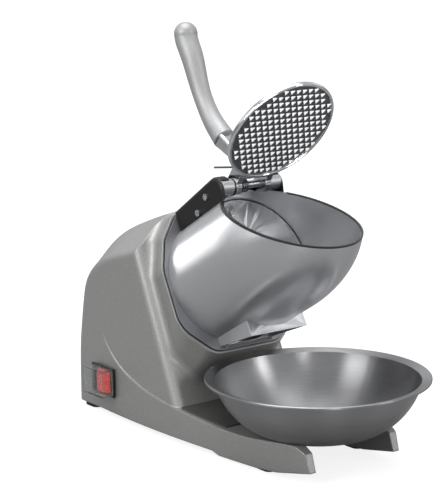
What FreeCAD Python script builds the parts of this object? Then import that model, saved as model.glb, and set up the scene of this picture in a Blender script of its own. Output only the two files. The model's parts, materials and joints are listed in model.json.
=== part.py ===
"""Shaved ice machine: a cast body on a fork foot, a tilted stainless barrel, a hinged press lever and a bowl.

Millimetres. +Z is up, the front of the machine faces -Y, and the machine is symmetric about X = 0.
The origin is on the ground, under the centre of the machine's bounding box.
"""
import FreeCAD, Part
import math
import os
from FreeCAD import Placement, Rotation, Vector

os.makedirs("parts", exist_ok=True)

X_AXIS = Vector(1, 0, 0)
Y_AXIS = Vector(0, 1, 0)
Z_AXIS = Vector(0, 0, 1)

# ---- driving dimensions -------------------------------------------------------------------------
WALL = 3.0                      # casting wall of the body
SIDE_HALF = 78.5                # half width of the body's flat side faces
CREST_HALF = 24.0               # half width of the roof's flat crest
WALL_FOOT = (28.0, 47.0)        # a point (y, z) of the slanted front wall, at the deck
WALL_LEAN = 23.5                # lean of the front wall from the vertical, degrees
RIDGE_R = 11.0                  # round along the front ridges, the rear corners and the roof
SHELL_BOTTOM = 6.0              # lower edge of the skirts above the ground

BARREL_ORIGIN = (42.5, 158.8)   # (y, z) where the barrel meets the collar's face
BARREL_TILT = 29.6              # barrel axis above the horizontal, degrees
BARREL_R = 70.2                 # outside radius
BARREL_WALL = 1.2
BARREL_REAR = -4.5              # where the barrel bottoms in the collar cup
BARREL_STRAIGHT = 94.8          # length of the straight part in front of the collar's face
BARREL_DOME = 116.5             # length of the rounded scoop
MOUTH_HEIGHT = 255.0            # mouth plane: height at y = 0
MOUTH_RISE = 13.0               # and its rise towards the rear, degrees

HINGE_S = 87.0                  # lever hinge, along the barrel axis from the collar's face
HINGE_H = 72.0                  # and above that axis
PIN_R = 4.0
EAR_R = 10.0
EAR_X = 18.5                    # centre of each lever ear
EAR_WIDTH = 7.0
LEVER_OPEN = 125.4              # direction of the open press plate above the -Y horizon, degrees
PLATE_R = 60.0
PLATE_CENTRE = 80.0             # centre of the press plate from the hinge
PLATE_BACK = 6.0                # back face of the plate from the hinge plane
PLATE_FACE = 12.0               # rim face of the plate

BOWL_Y = -106.0
BOWL_R = 112.0
BOWL_BOTTOM = 30.0
BOWL_RIM = 87.0
BOWL_FLAT_R = 47.0
BOWL_WALL = 1.0
# outer side of the bowl: (radius, z), from the flat bottom to the underside of the rim
BOWL_SIDE = [(BOWL_FLAT_R, BOWL_BOTTOM), (58, 32.5), (72, 39.5), (84, 49.5), (94, 62.5), (101, 77.0),
             (103, 83.5)]

SLOT_HALF = 42.0                # half width of the fork's slot at its round end
SLOT_MOUTH_HALF = 51.0          # and at the tips
SLOT_CENTRE_Y = -20.0
TIP_Y = -161.8

BLADE_DISC_S = 50.0             # rear face of the blade disc along the barrel axis
BLADE_DISC_R = 68.0
SHAFT_R = 6.0
MOTOR_R = 45.0
COLLAR_REAR = -8.0              # rear of the collar's flange, along the barrel axis
MOTOR_FRONT = -17.0             # face that carries the motor

SWITCH_Y = 157.0
SWITCH_Z = 40.5
SWITCH_FACE_X = -81.2
CLEARANCE = 0.3


# ---- frames -------------------------------------------------------------------------------------
def rotation_x(degrees):
    return Rotation(X_AXIS, degrees)


BARREL = Placement(Vector(0, *BARREL_ORIGIN), rotation_x(90 - BARREL_TILT))
HINGE = BARREL.multVec(Vector(0, HINGE_H, HINGE_S))
LEVER = Placement(HINGE, rotation_x(LEVER_OPEN))
FRONT_WALL = Placement(Vector(0, *WALL_FOOT), rotation_x(90 - WALL_LEAN))


def placed(shape, frame):
    """The shape moved from a local frame to the machine's frame."""
    moved = shape.copy()
    moved.Placement = frame.multiply(moved.Placement)
    return moved


# ---- small solids -------------------------------------------------------------------------------
def cylinder(radius, start, end, x=0.0, y=0.0):
    """A cylinder along local Z between two heights."""
    return Part.makeCylinder(radius, end - start, Vector(x, y, start), Z_AXIS)


def tube(outer, inner, start, end):
    return cylinder(outer, start, end).cut(cylinder(inner, start - 1, end + 1))


def cylinder_x(radius, start, end, y=0.0, z=0.0):
    """A cylinder along X between two x positions."""
    return Part.makeCylinder(radius, end - start, Vector(start, y, z), X_AXIS)


def block(x0, x1, y0, y1, z0, z1):
    return Part.makeBox(x1 - x0, y1 - y0, z1 - z0, Vector(x0, y0, z0))


def union(shapes):
    result = shapes[0]
    for shape in shapes[1:]:
        result = result.fuse(shape)
    return result.removeSplitter()


def mirrored(shape):
    """The shape and its mirror image across X = 0."""
    return [shape, shape.mirror(Vector(0, 0, 0), X_AXIS)]


def spline(points):
    curve = Part.BSplineCurve()
    curve.interpolate(points)
    return curve.toShape()


def face_of(edges):
    return Part.Face(Part.Wire(edges))


def rounded_outline(corners, frame):
    """A closed wire through (x, y, radius) corners, each rounded by its radius, placed by a frame."""
    edges = []
    count = len(corners)
    starts = []
    ends = []
    middles = []
    for i in range(count):
        here = Vector(corners[i][0], corners[i][1], 0)
        before = Vector(corners[i - 1][0], corners[i - 1][1], 0)
        after = Vector(corners[(i + 1) % count][0], corners[(i + 1) % count][1], 0)
        to_before = (before - here).normalize()
        to_after = (after - here).normalize()
        half_angle = to_before.getAngle(to_after) / 2
        radius = corners[i][2]
        tangent = radius / math.tan(half_angle)
        bisector = (to_before + to_after).normalize()
        starts.append(here + to_before * tangent)
        ends.append(here + to_after * tangent)
        middles.append(here + bisector * (radius / math.sin(half_angle) - radius))
    for i in range(count):
        arc = Part.Arc(frame.multVec(starts[i]), frame.multVec(middles[i]), frame.multVec(ends[i]))
        edges.append(arc.toShape())
        following = starts[(i + 1) % count]
        edges.append(Part.LineSegment(frame.multVec(ends[i]), frame.multVec(following)).toShape())
    return Part.Wire(edges)


def prism(outline, depth):
    """The outline's face pushed along a vector."""
    return Part.Face(outline).extrude(depth)


def shifted(frame, distance):
    """The frame moved along its own Z."""
    return frame.multiply(Placement(Vector(0, 0, distance), Rotation()))


# ---- body ---------------------------------------------------------------------------------------
# (y, z) of the roof's crest and of the side faces' upper edge, from the rear foot to the front wall
CREST_CURVE = [(217.6, 4), (217.2, 60), (215.5, 110), (209.5, 160), (201, 184), (186, 197), (166, 206),
               (140, 215.5)]
SIDE_CURVE = [(217.6, 4), (217, 33), (215, 63), (208.5, 98), (200, 134.5), (182, 159), (157.5, 173.5),
              (126.3, 183.7)]
CREST_TOP_Z = 226.0
SIDE_TOP_Z = 194.0


def front_wall_y(z):
    return WALL_FOOT[0] + (z - WALL_FOOT[1]) * math.tan(math.radians(WALL_LEAN))


def inset_curve(points, amount):
    """The points moved to the inner side of the curve, which runs from the rear foot up and forward."""
    result = []
    for i, (y, z) in enumerate(points):
        y0, z0 = points[max(i - 1, 0)]
        y1, z1 = points[min(i + 1, len(points) - 1)]
        length = math.hypot(y1 - y0, z1 - z0)
        result.append((y + (z1 - z0) / length * -amount, z + (y1 - y0) / length * amount))
    return result


def body_section(x, curve, top_z, inset):
    """One side-view section of the body at a given x: rear and roof curve, front wall, bottom."""
    wall_shift = inset / math.cos(math.radians(WALL_LEAN))
    top = Vector(x, front_wall_y(top_z - inset) + wall_shift, top_z - inset)
    low_z = SHELL_BOTTOM - inset
    foot = Vector(x, front_wall_y(low_z) + wall_shift, low_z)
    inner = inset_curve(curve, inset)
    heel = Vector(x, inner[0][0], low_z)
    path = [heel] + [Vector(x, y, z) for y, z in inner[1:]] + [top]
    edges = [spline(path), Part.LineSegment(top, foot).toShape(), Part.LineSegment(foot, heel).toShape()]
    return Part.Wire(edges)


def blended_section(x, share, inset):
    """A section between the side face's outline (share 0) and the crest's outline (share 1)."""
    curve = [(ys + (yc - ys) * share, zs + (zc - zs) * share)
             for (ys, zs), (yc, zc) in zip(SIDE_CURVE, CREST_CURVE)]
    return body_section(x, curve, SIDE_TOP_Z + (CREST_TOP_Z - SIDE_TOP_Z) * share, inset)


# how far the roof has risen from the side's edge to the crest, from the middle outwards
ROOF_SHARES = [(0.0, 1.0), (CREST_HALF, 0.955), (50.0, 0.6)]


def upper_block(inset):
    """The upper body: a smooth loft across the width, flat at the sides and crowned in the middle."""
    sections = [blended_section(SIDE_HALF - inset, 0.0, inset)]
    for x, share in reversed(ROOF_SHARES):
        sections.append(blended_section(x, share, inset))
    for x, share in ROOF_SHARES[1:]:
        sections.append(blended_section(-x, share, inset))
    sections.append(blended_section(-SIDE_HALF + inset, 0.0, inset))
    return Part.makeLoft(sections, True, False)


def edges_where(shape, test):
    return [edge for edge in shape.Edges if test(edge)]


def softened_upper_block(inset):
    """The upper body with a round along each front ridge, and along the rear corners and the roof."""
    body = upper_block(inset)

    def on_side(box):
        return abs(abs(box.Center.x) - SIDE_HALF + inset) < 0.1

    def is_ridge(edge):
        box = edge.BoundBox
        return on_side(box) and box.ZLength > 150 and box.YMax < 120

    def is_roof_line(edge):
        box = edge.BoundBox
        return on_side(box) and box.XLength < 0.1 and box.YMax > 200 and box.ZLength > 100

    edges = edges_where(body, is_ridge) + edges_where(body, is_roof_line)
    return body.makeFillet(RIDGE_R - inset, edges)


# (half width, y) of the skirts and arms in plan, and (y, z) of their upper edge
PLAN_CURVE = [(77.6, 178), (79.7, 140), (80.6, 100), (80.2, 60), (77.2, 0), (72.2, -60), (65.5, -115),
              (57.0, TIP_Y)]
ARM_TOP_CURVE = [(178, 121), (171.6, 108), (162, 92), (144, 72), (115, 55.5), (86, 46.5), (52, 40.5),
                 (-3, 34.5), (-50, 31.5), (-88, 31.8), (-125, 35), (-144, 35.5)]


def plan_face(inset, z):
    half = [(max(x - inset, 1), y) for x, y in PLAN_CURVE]
    left = [Vector(-x, y, z) for x, y in half]
    right = [Vector(x, y, z) for x, y in reversed(half)]
    edges = [
        spline(left),
        Part.LineSegment(left[-1], right[0]).toShape(),
        spline(right),
        Part.LineSegment(right[-1], left[0]).toShape(),
    ]
    return face_of(edges)


def arm_profile(points, low_points):
    """A side-view face (at x = 0) between an upper curve and a lower polyline, extruded both ways later."""
    top = [Vector(0, y, z) for y, z in points]
    low = [Vector(0, y, z) for y, z in low_points]
    edges = [spline(top)]
    chain = [top[-1]] + low + [top[0]]
    for start, end in zip(chain, chain[1:]):
        edges.append(Part.LineSegment(start, end).toShape())
    return face_of(edges)


def widened(face, half):
    solid = face.copy()
    solid.translate(Vector(-half, 0, 0))
    return solid.extrude(Vector(2 * half, 0, 0))


def slot_prism(grow, z0, z1):
    """The fork's open slot: a round rear end, and sides that open towards the tips."""
    left_rear = Vector(-SLOT_HALF - grow, SLOT_CENTRE_Y, z0)
    right_rear = Vector(SLOT_HALF + grow, SLOT_CENTRE_Y, z0)
    crown = Vector(0, SLOT_CENTRE_Y + SLOT_HALF + grow, z0)
    left_tip = Vector(-SLOT_MOUTH_HALF - grow, TIP_Y - 20, z0)
    right_tip = Vector(SLOT_MOUTH_HALF + grow, TIP_Y - 20, z0)
    edges = [
        Part.Arc(left_rear, crown, right_rear).toShape(),
        Part.LineSegment(right_rear, right_tip).toShape(),
        Part.LineSegment(right_tip, left_tip).toShape(),
        Part.LineSegment(left_tip, left_rear).toShape(),
    ]
    return face_of(edges).extrude(Vector(0, 0, z1 - z0))


def base_block():
    """Skirts and fork arms: the plan outline cut to the upper and lower edges of the arms."""
    plan = plan_face(0, -5).extrude(Vector(0, 0, 140))
    lower = [(-156, 30), (TIP_Y, 12), (-120, 4.5), (-95, 3), (-40, 3), (-30, SHELL_BOTTOM),
             (178, SHELL_BOTTOM)]
    profile = widened(arm_profile(ARM_TOP_CURVE, lower), 90)
    return profile.common(plan).cut(slot_prism(0, -10, 140))


FOOT_Y = -95.0
FOOT_X = 57.0


def base_void():
    """Space inside the skirts and under the deck, open below."""
    plan = plan_face(WALL + 0.5, -5).extrude(Vector(0, 0, 140))
    top = [(y, z - WALL) for y, z in ARM_TOP_CURVE[:8]] + [(-50, 26.5), (-100, 26.5), (-150, 26.5)]
    profile = widened(arm_profile(top, [(-150, -5), (178, -5)]), 90)
    void = profile.common(plan).cut(slot_prism(WALL, -10, 140))
    for side in (-1, 1):
        void = void.cut(cylinder(9.5, -10, 60, side * FOOT_X, FOOT_Y))
    return void


# outline of the collar's seat in the barrel frame: (x, height, corner radius)
def collar_corners(inset):
    corners = [(44, -76, 26), (77, -44, 34), (75, 22, 30), (62, 54, 16), (40, 79, 12)]
    right = [(x - inset, h + (inset if h < 0 else -inset), max(r - inset, 2)) for x, h, r in corners]
    left = [(-x, h, r) for x, h, r in reversed(right)]
    return right + left


SEAT_DRAFT = 0.3                # the collar and its seat narrow by this much per millimetre to the rear


def seat_outline(inset, s):
    """The collar's outline at a place along the barrel axis."""
    return rounded_outline(collar_corners(inset + SEAT_DRAFT * (1.0 - s)), shifted(BARREL, s))


def plug(inset, rear, front):
    """A drafted block with the collar's outline between two places along the barrel axis."""
    return Part.makeLoft([seat_outline(inset, rear), seat_outline(inset, front)], True, True)


def boss_root_corners(inset):
    """Outline of the boss where it grows out of the front wall: (x, distance up the wall, radius)."""
    corners = [(48, 14, 22), (66, 44, 30), (66, 128, 30), (54, 166, 16), (34, 189, 12)]
    right = [(x - inset, v + (inset if v < 40 else -inset), max(r - inset, 2)) for x, v, r in corners]
    left = [(-x, v, r) for x, v, r in reversed(right)]
    return right + left


def boss(inset, front, rear_depth):
    """The fairing that swells from the front wall to the collar's seat."""
    root = rounded_outline(boss_root_corners(inset), FRONT_WALL)
    fairing = Part.makeLoft([root, seat_outline(inset, front)], True, True)
    back = FRONT_WALL.Rotation.multVec(Vector(0, 0, -rear_depth))
    return fairing.fuse(prism(root, back))


ROOT_FILLET = 10.0


def upper_shell():
    """The upper body and its boss, with a fillet where the boss leaves the front wall."""
    shell = softened_upper_block(0).fuse(boss(0, 1.0, 6.0))
    to_wall = FRONT_WALL.inverse()

    def is_root(edge):
        spots = [to_wall.multVec(point) for point in edge.discretize(5)]
        return all(abs(p.z) < 0.02 and 13 < p.y < 190 and abs(p.x) < 68 for p in spots)

    return shell.makeFillet(ROOT_FILLET, edges_where(shell, is_root))


def bowl_nest():
    """Clearance of the bowl in the arms, so that it sits between them."""
    seat_z = BOWL_BOTTOM - CLEARANCE
    profile = [(0, seat_z), (BOWL_FLAT_R + 1, seat_z)]
    profile += [(r + 1.0, z - 0.2) for r, z in BOWL_SIDE[1:]]
    top = profile[-1][1]
    points = [Vector(r, BOWL_Y, z) for r, z in profile] + [Vector(0, BOWL_Y, top)]
    face = Part.Face(Part.makePolygon(points + [points[0]]))
    return face.revolve(Vector(0, BOWL_Y, 0), Z_AXIS, 360)


def switch_hole():
    return block(-95, -70, SWITCH_Y - 17.6, SWITCH_Y + 17.6, SWITCH_Z - 14, SWITCH_Z + 14)


GLAND_X = 40.0
GLAND_Z = 30.0
GLAND_R = 8.0
GLAND_BORE_R = 3.6
GLAND_FLANGE_R = 11.0
GLAND_FACE_Y = 215.4            # rear wall, where the gland's flange sits


def body_casting():
    outer = upper_shell().fuse(base_block())
    inner = softened_upper_block(WALL)
    inner = inner.fuse(block(-72, 72, 45, 210, -5, 12)).fuse(base_void())
    pocket = plug(2.0, COLLAR_REAR - 0.5, 6.0)
    throat = boss(WALL + 1.0, COLLAR_REAR + 1.0, 12.0)
    body = outer.cut(inner).cut(throat).cut(pocket)
    body = body.cut(bowl_nest()).cut(switch_hole())
    body = body.cut(Part.makeCylinder(GLAND_R + 0.2, 40, Vector(GLAND_X, 190, GLAND_Z), Y_AXIS))
    spot_start = Vector(GLAND_X, GLAND_FACE_Y - 0.05, GLAND_Z)
    spot_face = Part.makeCylinder(GLAND_FLANGE_R + CLEARANCE, 10, spot_start, Y_AXIS)
    return body.cut(spot_face)


def deck_tray():
    """Dark tray that lines the deck between the arms, round the slot's rear end."""
    plan = plan_face(5.0, 0).extrude(Vector(0, 0, 140))
    top = [(y, z + 1.6) for y, z in ARM_TOP_CURVE[6:9]]
    bottom = [(y, z + 0.05) for y, z in ARM_TOP_CURVE[6:9]]
    upper = spline([Vector(0, y, z) for y, z in top])
    lower = spline([Vector(0, y, z) for y, z in reversed(bottom)])
    front = Part.LineSegment(upper.Vertexes[-1].Point, lower.Vertexes[0].Point).toShape()
    rear = Part.LineSegment(lower.Vertexes[-1].Point, upper.Vertexes[0].Point).toShape()
    sheet = widened(face_of([upper, front, lower, rear]), 90)
    sheet = sheet.common(plan).common(block(-90, 90, -45, 40, 0, 80))
    sheet = sheet.cut(slot_prism(-1.0, -10, 140)).cut(bowl_nest())
    behind_wall = placed(block(-100, 100, -80, 60, -80, 1.0), FRONT_WALL)
    return sheet.cut(behind_wall)


# ---- collar, barrel and chute -------------------------------------------------------------------
MOTOR_BOLT_R = 34.0
MOTOR_BOLT_SIZE = 2.5
MOTOR_PAD_R = 48.0
CHAMBER_R = 61.2                # recess in the collar behind the barrel, which widens the chamber
CHAMBER_FLOOR = -9.2
CHAMBER_WALL = 2.3
BOLT_ANGLES = (45, 135, 225, 315)


def ring_positions(radius, angles):
    return [(radius * math.cos(math.radians(a)), radius * math.sin(math.radians(a))) for a in angles]


def collar_cup():
    """Cast collar: a flange round the barrel and the thick pad behind it that carries the motor."""
    pad = placed(cylinder(MOTOR_PAD_R, MOTOR_FRONT, COLLAR_REAR + 1), BARREL)
    floor = placed(cylinder(CHAMBER_R + 2.6, CHAMBER_FLOOR - CHAMBER_WALL, COLLAR_REAR + 1), BARREL)
    cup = plug(2.8, COLLAR_REAR, 3.0).fuse(floor).fuse(pad)
    bore = placed(cylinder(BARREL_R + 0.05, BARREL_REAR, 20), BARREL)
    bore = bore.fuse(placed(cylinder(CHAMBER_R, CHAMBER_FLOOR, 0), BARREL))
    shaft_hole = placed(cylinder(14.0, -40, 20), BARREL)
    cup = cup.cut(bore).cut(shaft_hole)
    for x, h in ring_positions(MOTOR_BOLT_R, BOLT_ANGLES):
        cup = cup.cut(placed(cylinder(MOTOR_BOLT_SIZE, -30, 0, x, h), BARREL))
    for x, h in CHUTE_SCREWS:
        cup = cup.cut(placed(cylinder(1.55, -3.5, 10, x, h), BARREL))
    return cup


def collar_gasket():
    """Dark seal in the gap between the collar and its seat."""
    return plug(2.05, COLLAR_REAR + 1, -1.0).cut(plug(2.75, COLLAR_REAR, 0.0))


def shaft_seal():
    return placed(tube(13.9, SHAFT_R + 0.05, -17.0, -11.0), BARREL)


def barrel_form(radius, shrink):
    """Straight barrel and its rounded scoop, as a solid of revolution about local Z."""
    rear = BARREL_REAR - 20 if shrink else BARREL_REAR
    length = BARREL_DOME - shrink
    start = Vector(radius, 0, BARREL_STRAIGHT)
    tip = Vector(0, 0, BARREL_STRAIGHT + length)
    major = Z_AXIS * length
    ellipse = Part.Ellipse(Vector(0, 0, BARREL_STRAIGHT) + major, start, Vector(0, 0, BARREL_STRAIGHT))
    arc = Part.ArcOfEllipse(ellipse, 0, math.pi / 2).toShape()
    edges = [
        Part.LineSegment(Vector(0, 0, rear), Vector(radius, 0, rear)).toShape(),
        Part.LineSegment(Vector(radius, 0, rear), start).toShape(),
        arc,
        Part.LineSegment(tip, Vector(0, 0, rear)).toShape(),
    ]
    return Part.Face(Part.Wire(Part.__sortEdges__(edges))).revolve(Vector(0, 0, 0), Z_AXIS, 360)


def above_mouth(lift):
    """Everything above the slanted mouth plane."""
    frame = Placement(Vector(0, 0, MOUTH_HEIGHT + lift), rotation_x(MOUTH_RISE))
    return placed(block(-120, 120, -260, 90, 0, 160), frame)


CHUTE_HALF = 36.0
CHUTE_END = 59.0
WINDOW = (30.0, 6.0, 46.0)      # half width, rear and front of the barrel's outlet
NOTCH_HALF = 24.5               # notch in the barrel's rear edge, where the lever turns
TRIM_WALL = 0.5
TRIM_DEPTH = 1.4
TRIM_GAP_HALF = 41.0            # the trim stops beside the bracket's cheeks


def hopper_barrel():
    shell = barrel_form(BARREL_R, 0).cut(barrel_form(BARREL_R - BARREL_WALL, BARREL_WALL))
    half, rear, front = WINDOW
    shell = shell.cut(block(-half, half, -90, -40, rear, front))
    shell = shell.cut(block(-NOTCH_HALF, NOTCH_HALF, 50, 90, HINGE_S - EAR_R - 1.5, 120))
    return placed(shell, BARREL).cut(above_mouth(0))


def mouth_trim():
    """Dark U-shaped edging pushed over the mouth's cut edge."""
    outer = barrel_form(BARREL_R + TRIM_WALL, -TRIM_WALL)
    inner = barrel_form(BARREL_R - BARREL_WALL - TRIM_WALL, BARREL_WALL + TRIM_WALL)
    band = outer.cut(inner)
    band = band.cut(block(-TRIM_GAP_HALF, TRIM_GAP_HALF, 40, 90, 40, 130))
    band = placed(band, BARREL).cut(above_mouth(TRIM_WALL))
    frame = Placement(Vector(0, 0, MOUTH_HEIGHT - TRIM_DEPTH), rotation_x(MOUTH_RISE))
    band = band.common(placed(block(-120, 120, -260, 90, 0, 160), frame))
    return band.cut(hopper_barrel())


CHUTE_LOW = -77.0
CHUTE_WALL = 1.2
CHUTE_SCREWS = [(-30.0, -69.0), (30.0, -69.0)]


def chute():
    """Stainless spout under the barrel: closed front, sides and rear, open below."""
    rear = 3.1
    outer = block(-CHUTE_HALF, CHUTE_HALF, CHUTE_LOW, -40, rear, CHUTE_END)
    inside = CHUTE_HALF - CHUTE_WALL
    inner = block(-inside, inside, CHUTE_LOW - 5, -30, rear + CHUTE_WALL, CHUTE_END - CHUTE_WALL)
    shell = outer.cut(inner).cut(cylinder(BARREL_R + 0.02, -20, 120))
    low_front = Placement(Vector(0, CHUTE_LOW, CHUTE_END), rotation_x(8))
    shell = shell.cut(placed(block(-60, 60, -30, 0, -70, 10), low_front))
    for x, h in CHUTE_SCREWS:
        shell = shell.cut(cylinder(1.55, 0, 10, x, h))
    return placed(shell, BARREL)


def chute_screws():
    """Two small screws that hold the chute's rear wall to the collar's face."""
    screws = []
    for x, h in CHUTE_SCREWS:
        head = cylinder(2.8, 3.1 + CHUTE_WALL, 5.8, x, h)
        shank = cylinder(1.5, -3.0, 5.0, x, h)
        screws.append(placed(head.fuse(shank), BARREL))
    return Part.makeCompound(screws)


# ---- hinge bracket ------------------------------------------------------------------------------
CHEEK_IN = 37.0
CHEEK_OUT = 40.0
BRACKET_REAR = 3.4
# (distance along the barrel, height, corner radius) of the cheeks, with a rounded nose over the hinge
CHEEK_CORNERS = [(BRACKET_REAR, 50, 1), (BRACKET_REAR, 80.5, 1), (103, 87, 15), (89, 50, 1)]


def cheek_outline(x):
    return rounded_outline(CHEEK_CORNERS, Placement(Vector(x, 0, 0), Rotation(Y_AXIS, -90)))


BRACKET_SCREWS = ((66.0, 71.5), (45.0, 62.5))   # (distance along the barrel, height) of the cheeks' screws
FLANGE_IN = 27.0                # the cheeks' folded front edges reach inwards to here
FLANGE_CORNERS = [(60, 20, 1), (60, 80.0, 1), (99.2, 83.5, 12.2), (87, 20, 1)]
PIN_SEAT = CHEEK_OUT - 0.8      # the pin sits in blind seats in the cheeks


def hinge_bracket():
    """Steel channel: two cheeks with folded front edges, joined by a web over the rear of the barrel."""
    solid = prism(cheek_outline(-CHEEK_OUT), X_AXIS * (2 * CHEEK_OUT))

    def is_top_line(edge):
        box = edge.BoundBox
        return abs(abs(box.Center.x) - CHEEK_OUT) < 0.1 and box.YMin > 79 and box.ZLength > 50

    solid = solid.makeFillet(5.0, edges_where(solid, is_top_line))
    hollow = block(-CHEEK_IN, CHEEK_IN, 20, 80.0, 6.4, 62)
    folded = rounded_outline(FLANGE_CORNERS, Placement(Vector(-CHEEK_IN, 0, 0), Rotation(Y_AXIS, -90)))
    hollow = hollow.fuse(prism(folded, X_AXIS * (2 * CHEEK_IN)))
    hollow = hollow.fuse(block(-FLANGE_IN, FLANGE_IN, 20, 110, 62, 120))
    solid = solid.cut(hollow).cut(cylinder(BARREL_R + 0.02, -20, 130))
    solid = solid.cut(cylinder_x(PIN_R + 0.02, -PIN_SEAT, PIN_SEAT, HINGE_H, HINGE_S))
    for s, h in BRACKET_SCREWS:
        solid = solid.cut(cylinder_x(2.05, -60, 60, h, s))
    return placed(solid, BARREL)


def bracket_screws():
    screws = []
    for s, h in BRACKET_SCREWS:
        for side in (-1, 1):
            head = cylinder_x(3.4, CHEEK_OUT, CHEEK_OUT + 1.9, h, s)
            shank = cylinder_x(2.0, CHEEK_IN - 0.4, CHEEK_OUT + 0.5, h, s)
            slot = block(CHEEK_OUT + 1.1, CHEEK_OUT + 3, h - 3, h + 3, s - 0.5, s + 0.5)
            screw = head.fuse(shank).cut(slot)
            screws.append(placed(screw if side > 0 else mirrored(screw)[1], BARREL))
    return Part.makeCompound(screws)


def hinge_pin():
    """Captive pin between the cheeks' blind seats."""
    end = PIN_SEAT - 0.1
    return placed(cylinder_x(PIN_R, -end, end, HINGE_H, HINGE_S), BARREL)


BUSH_INNER_X = 23.0
BUSH_R = 8.4


def hinge_bushes():
    """Spacer bushes between the cheeks and the lever's ears."""
    bushes = []
    for side in (-1, 1):
        start = BUSH_INNER_X if side > 0 else -CHEEK_IN
        end = CHEEK_IN if side > 0 else -BUSH_INNER_X
        bush = cylinder_x(BUSH_R, start, end, HINGE_H, HINGE_S)
        bushes.append(placed(bush.cut(cylinder_x(PIN_R + 0.02, -60, 60, HINGE_H, HINGE_S)), BARREL))
    return Part.makeCompound(bushes)


SPRING_WIRE = 1.1
SPRING_R = 6.6


def lever_spring():
    """Torsion spring round the pin, with one free leg standing off to the rear."""
    turns = 3.0
    pitch = 2.6
    helix = Part.makeHelix(pitch, turns * pitch, SPRING_R)
    start = Vector(SPRING_R, 0, 0)
    circle = Part.Wire(Part.makeCircle(SPRING_WIRE, start, Y_AXIS))
    coil = Part.Wire(helix).makePipeShell([circle], True, True)
    frame = Placement(HINGE + Vector(-12.5, 0, 0), Rotation(Y_AXIS, 90))
    coil = placed(coil, frame)
    rise_foot = HINGE + Vector(-12.5, 5.5, 5.0)
    knee = HINGE + Vector(-12.5, 8.4, 18.0)
    leg_end = HINGE + Vector(-12.5, 40.0, 14.4)
    rise = knee - rise_foot
    run = leg_end - knee
    leg = Part.makeCylinder(SPRING_WIRE, rise.Length, rise_foot, rise)
    tail = Part.makeCylinder(SPRING_WIRE, run.Length, knee, run)
    return union([coil, leg, Part.makeSphere(SPRING_WIRE, knee), tail])


# ---- press lever --------------------------------------------------------------------------------
# centre line of the grip in the lever frame (along the plate, towards the plate's face) and its radius
GRIP_LINE = [(12.2, -57, 11.8), (14, -75.6, 10.9), (17.8, -92.7, 10.1), (23, -106.7, 9.8),
             (29.5, -119.5, 10.1), (38.7, -134, 11.0), (49.5, -152, 12.0), (60.5, -170.5, 12.4)]


GRIP_START = GRIP_LINE[0][1]
NECK_HALF = 9.5
TANG_R = 5.0
TANG_LENGTH = 18.0


def lever_grip():
    """Cast grip: a loft of round sections along a bent centre line, with a domed end."""
    points = [Vector(0, y, z) for y, z, radius in GRIP_LINE]
    path = Part.BSplineCurve()
    path.interpolate(points)
    sections = []
    for point, (y, z, radius) in zip(points, GRIP_LINE):
        direction = Vector(0, 0, -1) if z == GRIP_START else path.tangent(path.parameter(point))[0]
        sections.append(Part.Wire(Part.makeCircle(radius, point, direction)))
    grip = Part.makeLoft(sections, True, False)
    grip = grip.fuse(Part.makeSphere(GRIP_LINE[-1][2] + 0.05, points[-1]))
    socket = cylinder(TANG_R + 0.02, GRIP_START - TANG_LENGTH - 0.5, GRIP_START + 5, 0, GRIP_LINE[0][0])
    return placed(grip.cut(socket), LEVER)


PLATE_SCREW_Y = (PLATE_CENTRE - 14, PLATE_CENTRE + 9)


def neck_section(low, high, z):
    """A rounded rectangle across the neck, between two heights over the lever's plane."""
    corners = [(NECK_HALF, low, 3), (NECK_HALF, high, 3), (-NECK_HALF, high, 3), (-NECK_HALF, low, 3)]
    return rounded_outline(corners, Placement(Vector(0, 0, z), Rotation()))


def lever_arm():
    """Chrome arm: two ears on the pin, a web between them, a plate mount and a neck to the grip."""
    ears = []
    for side in (-1, 1):
        start = side * EAR_X - EAR_WIDTH / 2
        ear = cylinder_x(EAR_R, start, start + EAR_WIDTH)
        ears.append(ear.fuse(block(start, start + EAR_WIDTH, 0, 22, -9, 5.9)))
    half = EAR_X + EAR_WIDTH / 2
    web = block(-half, half, 14, 24, -9, 5.9)
    mount = block(-13, 13, 14, 96, -2, 5.9)
    neck_root = neck_section(14, 24, -8)
    neck_tip = neck_section(3.5, 20, GRIP_START)
    neck = Part.makeLoft([neck_root, neck_tip], True, True)
    tang = cylinder(TANG_R, GRIP_START - TANG_LENGTH, GRIP_START + 5, 0, GRIP_LINE[0][0])
    arm = union(ears + [web, mount, neck, tang])
    arm = arm.cut(cylinder_x(PIN_R + 0.05, -60, 60))
    for y in PLATE_SCREW_Y:
        arm = arm.cut(cylinder(2.05, -10, 10, 0, y))
    return placed(arm, LEVER)


TOOTH_PITCH = 7.2
TOOTH_ROW = 6.6
TOOTH_HALF = 2.9
TOOTH_HEIGHT = 3.6
TEETH_R = 54.5


def tooth_positions():
    """Staggered rows of teeth inside the plate's rim."""
    positions = []
    rows = int(TEETH_R / TOOTH_ROW)
    for row in range(-rows, rows + 1):
        y = row * TOOTH_ROW
        offset = TOOTH_PITCH / 2 if row % 2 else 0.0
        columns = int(TEETH_R / TOOTH_PITCH) + 1
        for column in range(-columns, columns + 1):
            x = column * TOOTH_PITCH + offset
            if math.hypot(x, y) < TEETH_R:
                positions.append((x, y))
    return positions


def tooth(x, y, z):
    """One square pyramid tooth standing on the plate."""
    a = Vector(x - TOOTH_HALF, y - TOOTH_HALF, z)
    b = Vector(x + TOOTH_HALF, y - TOOTH_HALF, z)
    c = Vector(x + TOOTH_HALF, y + TOOTH_HALF, z)
    d = Vector(x - TOOTH_HALF, y + TOOTH_HALF, z)
    peak = Vector(x, y, z + TOOTH_HEIGHT)
    faces = [Part.Face(Part.makePolygon(loop + [loop[0]])) for loop in
             ([a, d, c, b], [a, b, peak], [b, c, peak], [c, d, peak], [d, a, peak])]
    return Part.makeSolid(Part.makeShell(faces))


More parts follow.
